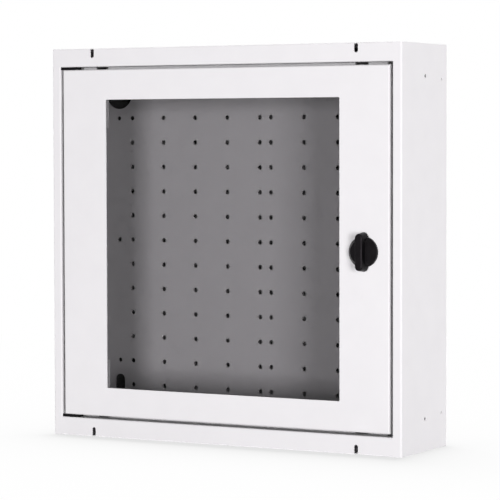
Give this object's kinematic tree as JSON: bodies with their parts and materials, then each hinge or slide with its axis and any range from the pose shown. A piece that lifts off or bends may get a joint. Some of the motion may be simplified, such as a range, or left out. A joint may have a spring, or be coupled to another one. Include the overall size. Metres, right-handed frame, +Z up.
{
  "type": "wall mount data cabinet",
  "caption": "Shallow square wall cabinet of folded white steel with a flush glazed door, a wing-knob lock and a perforated mounting plate inside.",
  "frame": {"origin": "centre of the rear face, in the plane of the wall", "axes": "+X to the right seen from the front, +Y into the wall, +Z up"},
  "size_m": [0.5, 0.1465, 0.5],
  "materials": {
    "case_paint": "fine-textured white powder coat",
    "tinted_glass": "clear grey-tinted safety glass",
    "black_plastic": "moulded, fine matt grain",
    "rubber": "matt",
    "zinc": "bright zinc plating"
  },
  "bodies": {
    "case": {"right_side_panel": "case_paint", "left_side_panel": "case_paint", "top_panel": "case_paint", "bottom_panel": "case_paint", "back_panel": "case_paint", "mounting_plate": "case_paint", "plate_spacers": "zinc", "plate_screws": "zinc", "upper_hinge_bush": "black_plastic", "lower_hinge_bush": "black_plastic", "door_buffers": "rubber"},
    "door": {"door_panel": "case_paint", "window_glass": "tinted_glass", "glass_tape": "rubber", "glass_clip_upper_right": "case_paint", "glass_clip_upper_left": "case_paint", "glass_clip_lower_right": "case_paint", "glass_clip_lower_left": "case_paint", "clip_studs": "zinc", "clip_nuts": "zinc", "upper_hinge_block": "zinc", "lower_hinge_block": "zinc", "upper_hinge_pin": "zinc", "lower_hinge_pin": "zinc", "lock_housing": "zinc", "lock_nut": "zinc"},
    "lock": {"wing_knob": "black_plastic", "lock_spindle": "zinc", "lock_cam": "zinc", "cam_screw": "zinc"}
  },
  "joints": [
    {"name": "door_hinge", "type": "hinge", "parent": "case", "child": "door", "pos_m": [-0.227, -0.124, 0], "axis": [0, 0, -1], "range_deg": [0, 115]},
    {"name": "knob_turn", "type": "hinge", "parent": "door", "child": "lock", "pos_m": [0.2, -0.13, -0.003], "axis": [0, -1, 0], "range_deg": [0, 90]}
  ]
}
